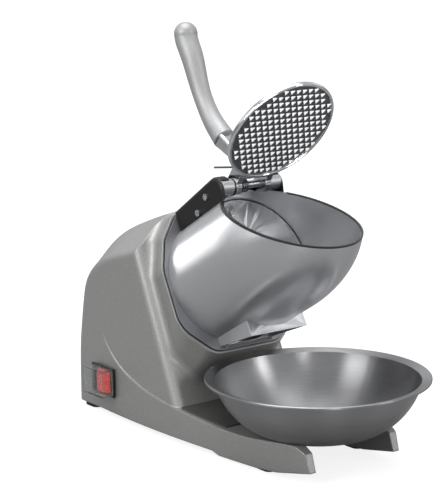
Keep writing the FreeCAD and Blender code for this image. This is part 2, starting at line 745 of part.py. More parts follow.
def press_plate():
    """Round plate with a raised polished rim and pyramid teeth on its face."""
    disc = cylinder(PLATE_R, PLATE_BACK, PLATE_FACE, 0, PLATE_CENTRE)
    recess = cylinder(PLATE_R - 2.4, PLATE_FACE - 2.0, PLATE_FACE + 5, 0, PLATE_CENTRE)
    disc = disc.cut(recess)
    for y in PLATE_SCREW_Y:
        disc = disc.cut(cylinder(2.05, 0, PLATE_FACE - 2.5, 0, y))
    teeth = [tooth(x, PLATE_CENTRE + y, PLATE_FACE - 2.2) for x, y in tooth_positions()]
    return placed(disc.multiFuse(teeth), LEVER)


def plate_screws():
    screws = []
    for y in PLATE_SCREW_Y:
        head = cylinder(4.2, -5.2, -2, 0, y)
        shank = cylinder(2.0, -3, PLATE_FACE - 3, 0, y)
        screws.append(placed(head.fuse(shank), LEVER))
    return Part.makeCompound(screws)


# ---- motor and blades ---------------------------------------------------------------------------
BELL_LENGTH = 16.0
STATOR_LENGTH = 48.0
BEARING_R = 13.0
REAR_BELL = MOTOR_FRONT - BELL_LENGTH - STATOR_LENGTH     # front face of the rear bell


def bell(open_at, closed_at):
    """Motor end bell: a cup whose open side faces the stator, with a seat for the bearing."""
    low = min(open_at, closed_at)
    high = max(open_at, closed_at)
    cup = cylinder(MOTOR_R, low, high)
    inner_start = low - 1 if open_at < closed_at else low + 4
    inner_end = high - 4 if open_at < closed_at else high + 1
    hollow = cylinder(MOTOR_R - 4, inner_start, inner_end)
    bearing_start = closed_at - 11 if closed_at > open_at else closed_at
    seat = cylinder(BEARING_R + 3, bearing_start, bearing_start + 11)
    cup = cup.cut(hollow).fuse(seat)
    return cup


def motor_front_bell():
    cup = bell(MOTOR_FRONT - BELL_LENGTH, MOTOR_FRONT)
    cup = cup.cut(cylinder(BEARING_R, MOTOR_FRONT - 20, MOTOR_FRONT - 2.5))
    cup = cup.cut(cylinder(9.0, MOTOR_FRONT - 30, MOTOR_FRONT + 5))
    for x, h in ring_positions(MOTOR_BOLT_R, BOLT_ANGLES):
        cup = cup.cut(cylinder(2.05, MOTOR_FRONT - 5, MOTOR_FRONT + 5, x, h))
    return placed(cup, BARREL)


def motor_rear_bell():
    end = REAR_BELL - BELL_LENGTH
    cup = bell(REAR_BELL, end)
    cup = cup.cut(cylinder(BEARING_R, end + 2.5, end + 30))
    cup = cup.cut(cylinder(8.0, end - 5, end + 30))
    for angle in range(0, 360, 45):
        slot = block(-3, 3, 22, 36, end - 1, end + 6)
        cup = cup.cut(placed(slot, Placement(Vector(), Rotation(Z_AXIS, angle))))
    return placed(cup, BARREL)


def motor_stator():
    core = tube(MOTOR_R - 1, 24.0, REAR_BELL + 0.1, MOTOR_FRONT - BELL_LENGTH - 0.1)
    return placed(core, BARREL)


def motor_windings():
    """Copper end turns on both sides of the stator core."""
    front = tube(37, 26, MOTOR_FRONT - BELL_LENGTH - 0.05, MOTOR_FRONT - BELL_LENGTH + 9)
    rear = tube(37, 26, REAR_BELL - 9, REAR_BELL + 0.05)
    front = front.makeFillet(2.5, [edge for edge in front.Edges if edge.BoundBox.ZLength < 0.01])
    rear = rear.makeFillet(2.5, [edge for edge in rear.Edges if edge.BoundBox.ZLength < 0.01])
    return Part.makeCompound([placed(front, BARREL), placed(rear, BARREL)])


def bearings():
    front = tube(BEARING_R - 0.02, SHAFT_R + 0.02, MOTOR_FRONT - 10.5, MOTOR_FRONT - 2.6)
    end = REAR_BELL - BELL_LENGTH
    rear = tube(BEARING_R - 0.02, SHAFT_R + 0.02, end + 2.6, end + 10.5)
    return Part.makeCompound([placed(front, BARREL), placed(rear, BARREL)])


def motor_screws():
    """Screws through the collar cup into the front bell."""
    screws = []
    for x, h in ring_positions(MOTOR_BOLT_R, BOLT_ANGLES):
        head = cylinder(4.2, CHAMBER_FLOOR + 0.05, CHAMBER_FLOOR + 3.0, x, h)
        shank = cylinder(2.0, MOTOR_FRONT - 3.9, CHAMBER_FLOOR + 1, x, h)
        screws.append(placed(head.fuse(shank), BARREL))
    return Part.makeCompound(screws)


ROTOR_R = 23.4


def motor_rotor():
    core = tube(ROTOR_R, SHAFT_R + 0.01, REAR_BELL + 2, MOTOR_FRONT - BELL_LENGTH - 2)
    return placed(core, BARREL)


FAN_START = REAR_BELL - BELL_LENGTH - 13.0


def drive_shaft():
    shaft = cylinder(SHAFT_R, FAN_START - 3, BLADE_DISC_S)
    shaft = shaft.fuse(cylinder(4.0, BLADE_DISC_S - 1, BLADE_DISC_S + 13))
    return placed(shaft, BARREL)


def cooling_fan():
    hub = tube(12, SHAFT_R + 0.01, FAN_START, FAN_START + 10)
    blades = []
    for i in range(9):
        blade = block(-1, 1, 10, 36, FAN_START, FAN_START + 10)
        blade = placed(blade, Placement(Vector(), Rotation(Z_AXIS, i * 40)))
        blades.append(blade)
    back = tube(36, 11, FAN_START, FAN_START + 1.5)
    return placed(hub.fuse(back).multiFuse(blades).removeSplitter(), BARREL)


DISC_THICK = 4.0
BLADE_ANGLES = (20, 200)


def blade_disc():
    """Disc that closes the rear of the ice space, with a slot behind each blade and a hub."""
    disc = cylinder(BLADE_DISC_R, BLADE_DISC_S, BLADE_DISC_S + DISC_THICK)
    disc = disc.fuse(tube(14, SHAFT_R + 0.01, BLADE_DISC_S - 12, BLADE_DISC_S + 1))
    disc = disc.cut(cylinder(SHAFT_R + 0.01, BLADE_DISC_S - 20, BLADE_DISC_S))
    disc = disc.cut(cylinder(4.02, BLADE_DISC_S - 20, BLADE_DISC_S + 20))
    for angle in BLADE_ANGLES:
        turn = Placement(Vector(), Rotation(Z_AXIS, angle))
        disc = disc.cut(placed(block(-4, 5, 17, 62, BLADE_DISC_S - 5, BLADE_DISC_S + 10), turn))
        for y in (26, 53):
            disc = disc.cut(placed(cylinder(2.05, BLADE_DISC_S - 5, BLADE_DISC_S + 10, 12, y), turn))
    return placed(disc, BARREL)


def shaving_blades():
    """Two straight blades, each lying along its slot with the edge a millimetre proud."""
    blades = []
    top = BLADE_DISC_S + DISC_THICK
    for angle in BLADE_ANGLES:
        turn = Placement(Vector(), Rotation(Z_AXIS, angle))
        profile = [Vector(17, 18, top + 0.01), Vector(2, 18, top + 0.01), Vector(-1, 18, top + 1.6),
                   Vector(17, 18, top + 2.0)]
        bar = Part.Face(Part.makePolygon(profile + [profile[0]])).extrude(Y_AXIS * 43)
        for y in (26, 53):
            bar = bar.cut(cylinder(2.05, top - 5, top + 10, 12, y))
        blades.append(placed(placed(bar, turn), BARREL))
    return Part.makeCompound(blades)


def blade_screws():
    screws = []
    top = BLADE_DISC_S + DISC_THICK
    for angle in BLADE_ANGLES:
        turn = Placement(Vector(), Rotation(Z_AXIS, angle))
        for y in (26, 53):
            screw = cylinder(2.0, BLADE_DISC_S - 1, top + 2.5, 12, y)
            screw = screw.fuse(cylinder(3.6, top + 2.05, top + 3.4, 12, y))
            screws.append(placed(placed(screw, turn), BARREL))
    return Part.makeCompound(screws)


def disc_nut():
    top = BLADE_DISC_S + DISC_THICK
    washer = tube(9, 4.02, top + 0.02, top + 1.4)
    corners = [Vector(7.0 * math.cos(math.radians(a)), 7.0 * math.sin(math.radians(a)), top + 1.4)
               for a in range(0, 360, 60)]
    hexagon = Part.Face(Part.makePolygon(corners + [corners[0]])).extrude(Vector(0, 0, 6))
    return placed(washer.fuse(hexagon).cut(cylinder(4.02, top - 5, top + 20)), BARREL)


CAPACITOR = Vector(52, 175, 26)


def run_capacitor():
    can = Part.makeCylinder(16, 52, CAPACITOR + Vector(0, -52, 0), Y_AXIS)
    stud = Part.makeCylinder(3, 6, CAPACITOR - Vector(0, 57, 0), Y_AXIS)
    return can.fuse(stud)


def capacitor_clip():
    """Spring clip that holds the capacitor to the bottom plate."""
    start = CAPACITOR + Vector(0, -34, 0)
    ring = Part.makeCylinder(17.2, 14, start, Y_AXIS)
    ring = ring.cut(Part.makeCylinder(16.05, 20, start - Vector(0, 3, 0), Y_AXIS))
    ring = ring.cut(block(CAPACITOR.x - 8, CAPACITOR.x + 8, 100, 200, CAPACITOR.z + 8, 60))
    return ring.cut(block(0, 90, 100, 200, -5, 9.6))


# ---- bottom plate, feet, switch and gland -------------------------------------------------------
PLATE_Z = 8.0
BOTTOM_SCREWS = [(x, y) for x in (-66, 66) for y in (52, 118, 178)]
REAR_FOOT = (67.5, 199.0)
SHELL_REAR_INSIDE = 211.5


def bottom_plate():
    """Sheet steel floor of the body with cooling slots and screw holes."""
    plan = plan_face(WALL + 0.8, PLATE_Z).extrude(Vector(0, 0, 1.5))
    sheet = plan.common(block(-90, 90, 33, 178, 0, 40))
    sheet = sheet.fuse(block(-74.5, 74.5, 150, SHELL_REAR_INSIDE, PLATE_Z, PLATE_Z + 1.5)).removeSplitter()
    for i in range(7):
        y = 78 + i * 12
        sheet = sheet.cut(block(-30, 22, y, y + 4, 0, 40))
    for x, y in BOTTOM_SCREWS:
        sheet = sheet.cut(cylinder(2.05, 0, 30, x, y))
    return sheet


def bottom_screws():
    screws = []
    for x, y in BOTTOM_SCREWS:
        screw = cylinder(3.6, PLATE_Z - 2.0, PLATE_Z - 0.02, x, y)
        screws.append(screw.fuse(cylinder(2.0, PLATE_Z - 1, PLATE_Z + 9, x, y)))
    return Part.makeCompound(screws)


def stadium(half_length, radius, z0, z1, x, y):
    """A pad with round ends, lengthwise along Y."""
    pad = block(x - radius, x + radius, y - half_length + radius, y + half_length - radius, z0, z1)
    for end in (-1, 1):
        pad = pad.fuse(cylinder(radius, z0, z1, x, y + end * (half_length - radius)))
    return pad.removeSplitter()


def feet(x, y, top):
    pads = []
    for side in (-1, 1):
        pad = stadium(12.0, 7.0, 0.0, top, side * x, y)
        pads.append(pad.makeFillet(1.2, [edge for edge in pad.Edges if edge.BoundBox.ZMax < 0.01]))
    return Part.makeCompound(pads)


def rear_feet():
    return feet(REAR_FOOT[0], REAR_FOOT[1], PLATE_Z - 0.02)


def front_feet():
    return feet(FOOT_X, FOOT_Y, 2.98)


SWITCH_HALF_Y = 21.0
SWITCH_HALF_Z = 16.0
SWITCH_WALL = 1.2


def switch_frame():
    """Black switch body with a flat bezel on the outside of the skirt."""
    bezel = block(SWITCH_FACE_X - 2.2, SWITCH_FACE_X, SWITCH_Y - SWITCH_HALF_Y, SWITCH_Y + SWITCH_HALF_Y,
                  SWITCH_Z - SWITCH_HALF_Z, SWITCH_Z + SWITCH_HALF_Z)
    box = block(SWITCH_FACE_X - 0.5, -58, SWITCH_Y - 17.2, SWITCH_Y + 17.2, SWITCH_Z - 13.6, SWITCH_Z + 13.6)
    pocket = block(SWITCH_FACE_X - 5, -70, ROCKER_Y - 12.4, ROCKER_Y + 12.4, SWITCH_Z - 12.6, SWITCH_Z + 12.6)
    return bezel.fuse(box).cut(pocket)


ROCKER_Y = SWITCH_Y - 2.5
ROCKER_PIVOT_X = -76.5
ROCKER_ANGLE = 9.0
ROCKER_HALF_Z = 12.1


def switch_rocker():
    """Two-lobed rocker, higher in the middle, resting with one half pressed in."""
    x = ROCKER_PIVOT_X
    profile = [(4, -11.0), (-7.6, -10.8), (-10.6, 0), (-7.6, 10.8), (4, 11.0)]
    outline = [Vector(x + dx, ROCKER_Y + dy, 0) for dx, dy in profile]
    rocker = Part.Face(Part.makePolygon(outline + [outline[0]])).extrude(Vector(0, 0, 2 * ROCKER_HALF_Z))
    rocker.translate(Vector(0, 0, SWITCH_Z - ROCKER_HALF_Z))
    rocker.rotate(Vector(x, ROCKER_Y, 0), Z_AXIS, ROCKER_ANGLE)
    return rocker


def switch_cover():
    """Clear splash cover: a thin box over the switch, open towards the bezel."""
    half_y = SWITCH_HALF_Y - 1.5
    half_z = SWITCH_HALF_Z - 1.5
    outer = block(SWITCH_FACE_X - 14.5, SWITCH_FACE_X - 2.25, SWITCH_Y - half_y, SWITCH_Y + half_y,
                  SWITCH_Z - half_z, SWITCH_Z + half_z)
    half_y -= SWITCH_WALL
    half_z -= SWITCH_WALL
    inner = block(SWITCH_FACE_X - 13.3, SWITCH_FACE_X, SWITCH_Y - half_y, SWITCH_Y + half_y,
                  SWITCH_Z - half_z, SWITCH_Z + half_z)
    shell = outer.makeFillet(2.0, [edge for edge in outer.Edges if edge.BoundBox.XLength > 5])
    return shell.cut(inner)


def cord_gland():
    """Flanged bush for the mains cord in the rear wall."""
    bush = Part.makeCylinder(GLAND_R, 14, Vector(GLAND_X, 203, GLAND_Z), Y_AXIS)
    bush = bush.fuse(Part.makeCylinder(GLAND_FLANGE_R, 2.6, Vector(GLAND_X, GLAND_FACE_Y, GLAND_Z), Y_AXIS))
    bush = bush.fuse(Part.makeCylinder(10.0, 2.0, Vector(GLAND_X, 207.0, GLAND_Z), Y_AXIS))
    return bush.cut(Part.makeCylinder(GLAND_BORE_R, 40, Vector(GLAND_X, 195, GLAND_Z), Y_AXIS))


# ---- bowl ---------------------------------------------------------------------------------------
def bowl():
    """Pressed stainless bowl with a flat rolled rim."""
    rim_in = Vector(105.5, BOWL_Y, BOWL_RIM - 1.6)
    rim_out = Vector(BOWL_R - 0.8, BOWL_Y, BOWL_RIM)
    side = [Vector(r, BOWL_Y, z) for r, z in BOWL_SIDE]
    inner_side = [Vector(r - BOWL_WALL, BOWL_Y, z + BOWL_WALL * 0.75) for r, z in reversed(BOWL_SIDE)]
    inner_side[-1] = Vector(BOWL_FLAT_R - 0.5, BOWL_Y, BOWL_BOTTOM + BOWL_WALL)
    up = Vector(0, 0, BOWL_WALL)
    rim_edge_low = rim_out + Vector(0.8, 0, -BOWL_WALL - 1.4)
    chain = [Vector(0, BOWL_Y, BOWL_BOTTOM), side[0]]
    edges = [Part.LineSegment(chain[0], chain[1]).toShape(), spline(side)]
    outline = [side[-1], rim_in - up, rim_out - up + Vector(-0.4, 0, 0), rim_edge_low + Vector(-1.2, 0, 0),
               rim_edge_low, rim_edge_low + Vector(0, 0, 1.6), rim_out, rim_in, inner_side[0]]
    for start, end in zip(outline, outline[1:]):
        edges.append(Part.LineSegment(start, end).toShape())
    edges.append(spline(inner_side))
    centre = Vector(0, BOWL_Y, BOWL_BOTTOM + BOWL_WALL)
    edges.append(Part.LineSegment(inner_side[-1], centre).toShape())
    edges.append(Part.LineSegment(centre, chain[0]).toShape())
    return face_of(edges).revolve(Vector(0, BOWL_Y, 0), Z_AXIS, 360)


# ---- write every node ---------------------------------------------------------------------------
NODES = {
    "body_casting": body_casting,
    "deck_tray": deck_tray,
    "front_collar": collar_cup,
    "collar_gasket": collar_gasket,
    "shaft_seal": shaft_seal,
    "hopper_barrel": hopper_barrel,
    "mouth_trim": mouth_trim,
    "chute": chute,
    "chute_screws": chute_screws,
    "hinge_bracket": hinge_bracket,
    "bracket_screws": bracket_screws,
    "hinge_pin": hinge_pin,
    "hinge_bushes": hinge_bushes,
    "lever_spring": lever_spring,
    "lever_grip": lever_grip,
    "lever_arm": lever_arm,
    "press_plate": press_plate,
    "plate_screws": plate_screws,
    "motor_front_bell": motor_front_bell,
    "motor_rear_bell": motor_rear_bell,
    "motor_stator": motor_stator,
    "motor_windings": motor_windings,
    "motor_screws": motor_screws,
    "motor_rotor": motor_rotor,
    "bearings": bearings,
    "drive_shaft": drive_shaft,
    "cooling_fan": cooling_fan,
    "blade_disc": blade_disc,
    "shaving_blades": shaving_blades,
    "blade_screws": blade_screws,
    "disc_nut": disc_nut,
    "run_capacitor": run_capacitor,
    "capacitor_clip": capacitor_clip,
    "bottom_plate": bottom_plate,
    "bottom_screws": bottom_screws,
    "rear_feet": rear_feet,
    "front_feet": front_feet,
    "switch_frame": switch_frame,
    "switch_rocker": switch_rocker,
    "switch_cover": switch_cover,
    "cord_gland": cord_gland,
    "bowl": bowl,
}

for name, make in NODES.items():
    shape = make()
    shape.exportStep("parts/" + name + ".step")
    state = "valid" if shape.isValid() else "INVALID"
    print(name, state, len(shape.Solids), round(shape.Volume / 1000, 2), "cm3")
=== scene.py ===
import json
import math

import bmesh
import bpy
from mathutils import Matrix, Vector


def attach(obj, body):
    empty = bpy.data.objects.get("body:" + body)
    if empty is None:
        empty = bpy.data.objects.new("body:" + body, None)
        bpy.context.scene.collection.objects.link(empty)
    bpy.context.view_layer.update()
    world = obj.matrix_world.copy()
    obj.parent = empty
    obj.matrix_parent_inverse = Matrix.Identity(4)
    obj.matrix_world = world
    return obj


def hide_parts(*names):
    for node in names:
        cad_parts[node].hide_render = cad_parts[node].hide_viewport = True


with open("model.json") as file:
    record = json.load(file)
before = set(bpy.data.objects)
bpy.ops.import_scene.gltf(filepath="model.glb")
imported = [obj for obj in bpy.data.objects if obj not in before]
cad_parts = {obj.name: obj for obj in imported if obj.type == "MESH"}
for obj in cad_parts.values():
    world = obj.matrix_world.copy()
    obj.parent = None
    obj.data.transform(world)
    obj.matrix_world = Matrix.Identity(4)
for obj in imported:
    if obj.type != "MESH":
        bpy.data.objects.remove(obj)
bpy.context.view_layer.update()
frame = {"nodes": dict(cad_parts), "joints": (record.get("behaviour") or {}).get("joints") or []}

# %% [markdown]
# # A countertop ice shaver
# The machine has a cast and painted body, a brushed barrel, a polished press lever and a spun bowl.
# The engineering model gives every part in its place. This lesson dresses those parts: it smooths their
# shading, gives each a finish that is made by nodes, and rebuilds the press plate, whose look needs finer
# geometry than the engineering model has. Lengths are metres, +Z is up and the bowl points to -Y.

MM = 0.001
scene = bpy.context.scene
nodes = frame["nodes"]

# %% [markdown]
# ## The camera
# A long lens a good step away keeps upright lines nearly parallel, as in a catalogue picture. The camera
# looks from the bowl's left, a little from above. It is aimed at a point inside the barrel, and leans by
# less than a degree.

# %% Camera
CAMERA_PLACE = Vector((-0.997, -1.284, 0.514))
CAMERA_AIM = Vector((-0.0418, 0.0, 0.2048))
CAMERA_ROLL = math.radians(-0.85)
FOCAL_LENGTH = 117.8

camera_data = bpy.data.cameras.new("camera")
camera_data.lens = FOCAL_LENGTH
camera_data.sensor_width = 36.0
camera = bpy.data.objects.new("camera", camera_data)
scene.collection.objects.link(camera)
camera.location = CAMERA_PLACE
toward = (CAMERA_AIM - CAMERA_PLACE).to_track_quat("-Z", "Y")
camera.rotation_mode = "QUATERNION"
camera.rotation_quaternion = toward @ Matrix.Rotation(CAMERA_ROLL, 3, "Z").to_quaternion()
scene.camera = camera
print("camera distance, m:", round((CAMERA_AIM - CAMERA_PLACE).length, 3))

# %% [markdown]
# ## Colours and nodes
# Colours are written as the hex values a painter's chart would give. Blender shades in linear light, so one
# function turns a hex value into linear numbers. A second small function adds one node with its settings
# and its links. Every material below is made with these two.

# %% Two helpers for materials
def linear(code, alpha=1.0):
    """A colour such as "#8C8E8E" as linear red, green, blue and alpha."""
    channels = [int(code[i:i + 2], 16) / 255 for i in (1, 3, 5)]
    return [c / 12.92 if c <= 0.04045 else ((c + 0.055) / 1.055) ** 2.4 for c in channels] + [alpha]


def add(tree, kind, settings=None, links=None):
    """Adds a node. Settings name an input, an input's number or a property; links go to inputs."""
    node = tree.nodes.new(kind)
    for key, value in (settings or {}).items():
        if isinstance(key, int) or key in node.inputs.keys():
            node.inputs[key].default_value = value
        else:
            setattr(node, key, value)
    for key, socket in (links or {}).items():
        tree.links.new(socket, node.inputs[key])
    return node


def start(name, colour, metallic, roughness, **sockets):
    """A new material with one shader, its constants set on the shader's own sockets."""
    material = bpy.data.materials.new(name)
    material.use_nodes = True
    tree = material.node_tree
    shader = tree.nodes["Principled BSDF"]
    shader.inputs["Base Color"].default_value = linear(colour)
    shader.inputs["Metallic"].default_value = metallic
    shader.inputs["Roughness"].default_value = roughness
    for key, value in sockets.items():
        shader.inputs[key.replace("_", " ")].default_value = value
    place = add(tree, "ShaderNodeTexCoord")
    return material, tree, shader, place.outputs["Object"]


def per(size_mm):
    """Scale of a texture whose features are this many millimetres wide."""
    return 1000.0 / size_mm


print("a grey of #808080 in linear light:", round(linear("#808080")[0], 3))

# %% [markdown]
# ## Grain that every finish shares
# Paint, plastic and cast metal all show a fine skin: a shallow noise lifts the surface and changes its gloss
# a little. The function below adds both to a shader. Real edges are never knife sharp, so a bevel node
# bends the shading normal over a given radius, which catches a thin line of light along every edge.

# %% Grain, gloss and soft edges
def skin(tree, shader, place, grain_mm, height_mm, gloss, edge_mm=0.0, stretch=None):
    """Fine bump and uneven gloss; gloss is (lowest, highest) roughness."""
    vector = stretch or place
    grain = add(tree, "ShaderNodeTexNoise", {"Scale": per(grain_mm), "Detail": 4.0, "Roughness": 0.6},
                {"Vector": vector})
    span = add(tree, "ShaderNodeMapRange",
               {"From Min": 0.3, "From Max": 0.7, "To Min": gloss[0], "To Max": gloss[1]},
               {"Value": grain.outputs["Fac"]})
    tree.links.new(span.outputs["Result"], shader.inputs["Roughness"])
    bump = add(tree, "ShaderNodeBump", {"Strength": 1.0, "Distance": height_mm * MM},
               {"Height": grain.outputs["Fac"]})
    if edge_mm:
        edge = add(tree, "ShaderNodeBevel", {"samples": 6, "Radius": edge_mm * MM})
        tree.links.new(edge.outputs["Normal"], bump.inputs["Normal"])
    tree.links.new(bump.outputs["Normal"], shader.inputs["Normal"])
    return grain.outputs["Fac"]


def two_tone(tree, shader, fac, dark, light, low=0.35, high=0.65):
    """Base colour that runs between two hex colours as a noise rises from low to high."""
    ramp = add(tree, "ShaderNodeValToRGB", {}, {"Fac": fac})
    ramp.color_ramp.elements[0].position = low
    ramp.color_ramp.elements[0].color = linear(dark)
    ramp.color_ramp.elements[1].position = high
    ramp.color_ramp.elements[1].color = linear(light)
    tree.links.new(ramp.outputs["Color"], shader.inputs["Base Color"])


# %% [markdown]
# ## Metallic grey paint on the casting
# The body is die-cast aluminium, sprayed with a grey paint that holds fine aluminium flakes. The flakes give
# a slight glitter and a broad, soft highlight along each ridge. The spray leaves a faint orange peel.
# Flakes are about 0.1 mm across; they are drawn at 0.9 mm, because finer ones would vanish in the render.

# %% Metallic grey paint
def grey_paint(name, dark, light, rough, edge_mm):
    material, tree, shader, place = start(name, light, 0.55, rough, Coat_Weight=0.12, Coat_Roughness=0.3)
    skin(tree, shader, place, 1.4, 0.035, (rough - 0.05, rough + 0.08), edge_mm)
    flakes = add(tree, "ShaderNodeTexNoise", {"Scale": per(0.9), "Detail": 2.0}, {"Vector": place})
    two_tone(tree, shader, flakes.outputs["Fac"], dark, light, 0.3, 0.7)
    return material


cast_paint = grey_paint("metallic_grey_paint", "#8A8A88", "#A3A3A1", 0.42, 2.2)
collar_paint = grey_paint("dark_grey_paint", "#737477", "#848588", 0.42, 1.0)
grip_lacquer = grey_paint("silver_grip_lacquer", "#9A9A9A", "#ADADAD", 0.5, 1.0)
print("painted finishes:", cast_paint.name, collar_paint.name, grip_lacquer.name)

# %% [markdown]
# ## Brushed stainless steel
# The barrel is rolled sheet, brushed round its axis. The belt leaves fine rings, which blur what the steel
# mirrors along the axis and draw it out into long bands. The noise is squeezed along the barrel's axis to
# draw the rings, and the shader's tangent runs along the sheet too, across the rings. Real lines are 0.1 mm
# wide and are drawn at 0.5 mm. The bowl is spun and then polished on the lathe, so its rings run round its
# own axis.

# %% Brushed and spun steel
BARREL_TILT = math.radians(29.6)
BARREL_AXIS = Vector((0, -math.cos(BARREL_TILT), math.sin(BARREL_TILT)))
LINE_MM = 0.5
RING_SQUEEZE = 40.0
RING_HEIGHT_MM = 0.0008


def turned_steel(name, axis, dark, light, gloss, anisotropy):
    material, tree, shader, place = start(name, light, 1.0, gloss[0], Anisotropic=anisotropy)
    along = add(tree, "ShaderNodeVectorMath", {"operation": "DOT_PRODUCT", 1: axis}, {0: place})
    rings = add(tree, "ShaderNodeVectorMath", {"operation": "SCALE", 0: axis * RING_SQUEEZE},
                {"Scale": along.outputs["Value"]})
    squeezed = add(tree, "ShaderNodeVectorMath", {"operation": "ADD"},
                   {0: place, 1: rings.outputs["Vector"]})
    fac = skin(tree, shader, place, LINE_MM * RING_SQUEEZE, RING_HEIGHT_MM, gloss, 0.5,
               squeezed.outputs["Vector"])
    two_tone(tree, shader, fac, dark, light)
    facing = add(tree, "ShaderNodeNewGeometry")
    around = add(tree, "ShaderNodeVectorMath", {"operation": "CROSS_PRODUCT", 1: axis},
                 {0: facing.outputs["Normal"]})
    across = add(tree, "ShaderNodeVectorMath", {"operation": "CROSS_PRODUCT"},
                 {0: facing.outputs["Normal"], 1: around.outputs["Vector"]})
    tree.links.new(across.outputs["Vector"], shader.inputs["Tangent"])
    return material


barrel_steel = turned_steel("brushed_barrel_steel", BARREL_AXIS, "#C2C3C5", "#C7C8CA", (0.30, 0.34), 0.75)
bowl_steel = turned_steel("spun_bowl_steel", Vector((0, 0, 1)), "#939394", "#9C9C9D", (0.32, 0.37), 0.8)
print("turned finishes:", barrel_steel.name, bowl_steel.name)

# %% [markdown]
# ## The other metals
# Chrome plate is nearly a mirror with a faint haze. Zinc-plated screws are duller and slightly blue. Ground
# and die-cast parts sit in between. The polished ends of the press plate's studs are painted nearly white as
# a painted highlight, so their shader is mostly not metallic, and the plate's field between the studs is
# painted dark grey as painted shade. Powder-coated steel is a plastic film on metal, so it isn't metallic.

# %% Plain metals and powder coat
def metal(name, dark, light, gloss, grain_mm, height_mm, edge_mm, metallic=1.0):
    material, tree, shader, place = start(name, light, metallic, gloss[0])
    fac = skin(tree, shader, place, grain_mm, height_mm, gloss, edge_mm)
    two_tone(tree, shader, fac, dark, light)
    return material


chrome = metal("polished_chrome", "#D2D3D5", "#E2E3E5", (0.05, 0.12), 6.0, 0.002, 1.0)
zinc = metal("zinc_plated_steel", "#AEB1B4", "#C6C9CC", (0.2, 0.34), 1.0, 0.004, 0.4)
cast_aluminium = metal("die_cast_aluminium", "#A5A6A8", "#BABBBD", (0.34, 0.5), 1.2, 0.03, 0.8)
ground_steel = metal("ground_steel", "#A9ABAE", "#C2C4C7", (0.16, 0.28), 0.8, 0.003, 0.3)
spring_steel = metal("spring_steel", "#6E6F72", "#8B8C8F", (0.2, 0.32), 1.0, 0.003, 0.0)
laminations = metal("laminated_steel", "#3C3D40", "#55565A", (0.35, 0.5), 0.7, 0.02, 0.3)
copper = metal("enamelled_copper", "#8C4A22", "#B8672F", (0.18, 0.3), 0.8, 0.06, 0.3)
# painted shade: the press plate's field between the studs is coloured dark grey
field_shade_grey = metal("painted_field_shade", "#5E5F61", "#747578", (0.45, 0.6), 0.9, 0.04, 0.3)
# painted highlight: the polished stud ends are coloured nearly white and mostly not metallic
stud_highlight_white = metal("painted_stud_highlight", "#F2F2F3", "#FBFBFB", (0.42, 0.55), 2.0, 0.002, 0.2, metallic=0.2)


def coated(name, dark, light, gloss, grain_mm, height_mm, edge_mm, **sockets):
    material, tree, shader, place = start(name, light, 0.0, gloss[0], **sockets)
    fac = skin(tree, shader, place, grain_mm, height_mm, gloss, edge_mm)
    two_tone(tree, shader, fac, dark, light)
    return material


black_powder = coated("black_powder_coat", "#0F0F10", "#191919", (0.34, 0.46), 0.9, 0.02, 1.2,
                      Specular_IOR_Level=0.35)
# the deck tray under the bowl is coloured dark grey
dark_deck_finish = coated("dark_deck_grey", "#353534", "#434341", (0.45, 0.6), 0.8, 0.05, 0.8)
black_pbt = coated("black_switch_plastic", "#141414", "#1F1F20", (0.22, 0.34), 0.7, 0.012, 0.5)
rubber = coated("moulded_rubber", "#161616", "#242424", (0.62, 0.8), 0.6, 0.03, 0.6)
white_pp = coated("white_capacitor_can", "#C9C9C4", "#DADAD6", (0.35, 0.45), 1.5, 0.01, 0.6)
print("materials so far:", len(bpy.data.materials))

# %% [markdown]
# ## The switch's plastics
# The rocker is red polycarbonate that lets some light in, so it glows a little at its edges. Its splash cover
# is a clear moulded box: thin walls, a soft gloss, and a faint grey where the walls are seen edge on.

# %% Red and clear polycarbonate
red_plastic, red_tree, red_shader, red_place = start("red_polycarbonate", "#E0433C", 0.0, 0.28,
                                                     IOR=1.58, Subsurface_Weight=0.25, Coat_Weight=0.3)
red_shader.inputs["Subsurface Radius"].default_value = (0.004, 0.0015, 0.001)
red_fac = skin(red_tree, red_shader, red_place, 2.0, 0.004, (0.22, 0.32), 0.6)
two_tone(red_tree, red_shader, red_fac, "#D23A34", "#EC5A50")

clear_plastic, clear_tree, clear_shader, clear_place = start("clear_polycarbonate", "#F4F6F6", 0.0, 0.06,
                                                             IOR=1.2, Transmission_Weight=0.98)
skin(clear_tree, clear_shader, clear_place, 5.0, 0.004, (0.04, 0.1), 0.8)
print("switch plastics:", red_plastic.name, clear_plastic.name)

# %% [markdown]
# ## Which part has which finish
# The parts of the engineering model keep their shape and only take a material. Their shading is smoothed
# across gentle bends and kept sharp across edges.

# %% Finishes for the engineering parts
FINISH = {
    cast_paint: ["body_casting"],
    collar_paint: ["front_collar"],
    grip_lacquer: ["lever_grip"],
    barrel_steel: ["hopper_barrel", "chute", "blade_disc"],
    bowl_steel: ["bowl"],
    chrome: ["lever_arm"],
    zinc: ["chute_screws", "bracket_screws", "plate_screws", "motor_screws", "blade_screws", "disc_nut",
           "bottom_screws"],
    cast_aluminium: ["hinge_bushes", "motor_front_bell", "motor_rear_bell"],
    ground_steel: ["hinge_pin", "bearings", "drive_shaft", "shaving_blades"],
    spring_steel: ["lever_spring", "capacitor_clip"],
    laminations: ["motor_stator", "motor_rotor"],
    copper: ["motor_windings"],
    black_powder: ["hinge_bracket", "bottom_plate"],
    dark_deck_finish: ["deck_tray"],
    black_pbt: ["switch_frame", "cooling_fan", "mouth_trim"],
    rubber: ["rear_feet", "front_feet", "collar_gasket", "shaft_seal", "cord_gland"],
    white_pp: ["run_capacitor"],
    red_plastic: ["switch_rocker"],
    clear_plastic: ["switch_cover"],
    field_shade_grey: ["press_plate"],
}
EDGE_ANGLE = math.radians(28)


def shade(obj):
    """Smooth shading that stays sharp where two faces meet at more than EDGE_ANGLE."""
    mesh = obj.data
    mesh.shade_smooth()
    mesh.set_sharp_from_angle(angle=EDGE_ANGLE)


